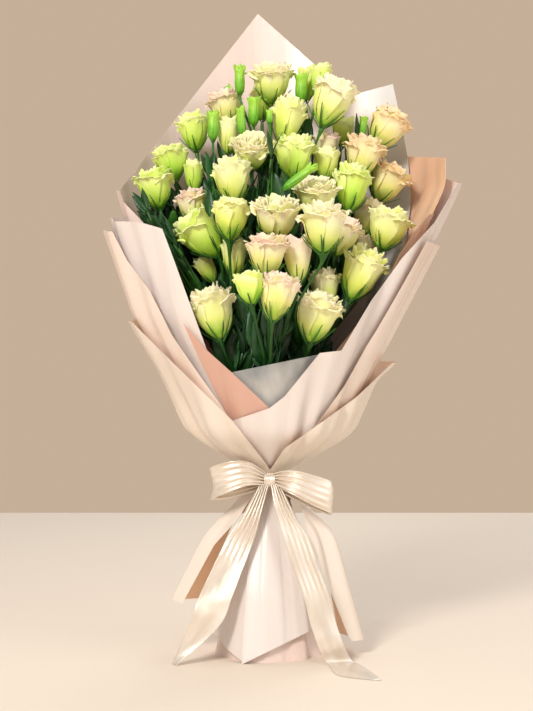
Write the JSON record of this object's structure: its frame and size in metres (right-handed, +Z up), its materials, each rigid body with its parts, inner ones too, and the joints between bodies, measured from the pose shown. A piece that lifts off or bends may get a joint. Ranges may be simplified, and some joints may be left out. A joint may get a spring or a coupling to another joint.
{
  "type": "lisianthus bouquet",
  "caption": "Wrapped bouquet of double lisianthus in cream, green and blush, with layered satin-finish paper and a ribbon bow, standing on its cut stems.",
  "frame": {"origin": "the middle of the cut end of the middle stem, on the table", "axes": "+Z up along the bunch, -Y towards the front where the bow is, +X to the right as seen from the front"},
  "size_m": [0.42, 0.3291, 0.8014],
  "materials": {
    "petal_cream": "matte",
    "petal_yellow": "matte",
    "petal_green": "matte",
    "petal_blush": "matte",
    "petal_peach": "matte",
    "foliage": "satin",
    "paper_back": "satin",
    "paper_silver": "satin",
    "paper_peach": "satin",
    "paper_grey": "satin",
    "paper_left_roll": "satin",
    "paper_pink": "satin",
    "paper_white_right": "satin",
    "paper_left_edge": "satin",
    "paper_right_cream": "satin",
    "paper_lower_left": "satin",
    "paper_lower_right": "satin",
    "ribbon": "satin"
  },
  "bodies": {
    "root": {"bloom_top_centre": "petal_cream", "bloom_top_left_blush": "petal_blush", "bloom_centre_back": "petal_yellow", "bloom_tall_centre": "petal_yellow", "bloom_top_yellow": "petal_yellow", "bloom_top_green": "petal_green", "bloom_top_right": "petal_cream", "bloom_half_open_right": "petal_green", "bloom_far_right_top": "petal_peach", "bloom_right_orange": "petal_peach", "bloom_right_peach": "petal_peach", "bloom_right_green": "petal_green", "bloom_right_cream": "petal_yellow", "bloom_right_blush_back": "petal_blush", "bloom_middle_wide": "petal_cream", "bloom_middle_right": "petal_cream", "bloom_middle_right_pink": "petal_blush", "bloom_right_blush": "petal_blush", "bloom_right_yellow": "petal_yellow", "bloom_right_low_blush": "petal_blush", "bloom_low_right_cream": "petal_yellow", "bloom_low_right_back": "petal_cream", "bloom_low_right_front": "petal_cream", "bloom_centre_folded": "petal_green", "bloom_centre_facing": "petal_cream", "bloom_left_yellow_back": "petal_yellow", "bloom_left_green_top": "petal_green", "bloom_left_yellow": "petal_green", "bloom_left_edge_green": "petal_green", "bloom_left_narrow": "petal_green", "bloom_centre_cream": "petal_yellow", "bloom_left_blush_back": "petal_blush", "bloom_left_white": "petal_yellow", "bloom_left_large_green": "petal_green", "bloom_left_tall_yellow": "petal_yellow", "bloom_centre_ruffled": "petal_cream", "bloom_centre_blush": "petal_blush", "bloom_centre_yellow_blush": "petal_blush", "bloom_small_green": "petal_green", "bloom_low_centre": "petal_blush", "bloom_low_left": "petal_cream", "bloom_low_left_back": "petal_yellow", "leafy_stem_front_left": "foliage", "leafy_stem_front": "foliage", "leafy_stem_front_right": "foliage", "leafy_stem_back_left": "foliage", "leafy_stem_back_right": "foliage", "leafy_stem_middle": "foliage", "sheet_back": "paper_back", "sheet_silver": "paper_silver", "sheet_peach": "paper_peach", "sheet_grey": "paper_grey", "sheet_left_roll": "paper_left_roll", "sheet_pink": "paper_pink", "sheet_white_right": "paper_white_right", "sheet_left_edge": "paper_left_edge", "sheet_right_cream": "paper_right_cream", "sheet_lower_left": "paper_lower_left", "sheet_lower_right": "paper_lower_right", "satin_ribbon": "ribbon"}
  },
  "joints": []
}
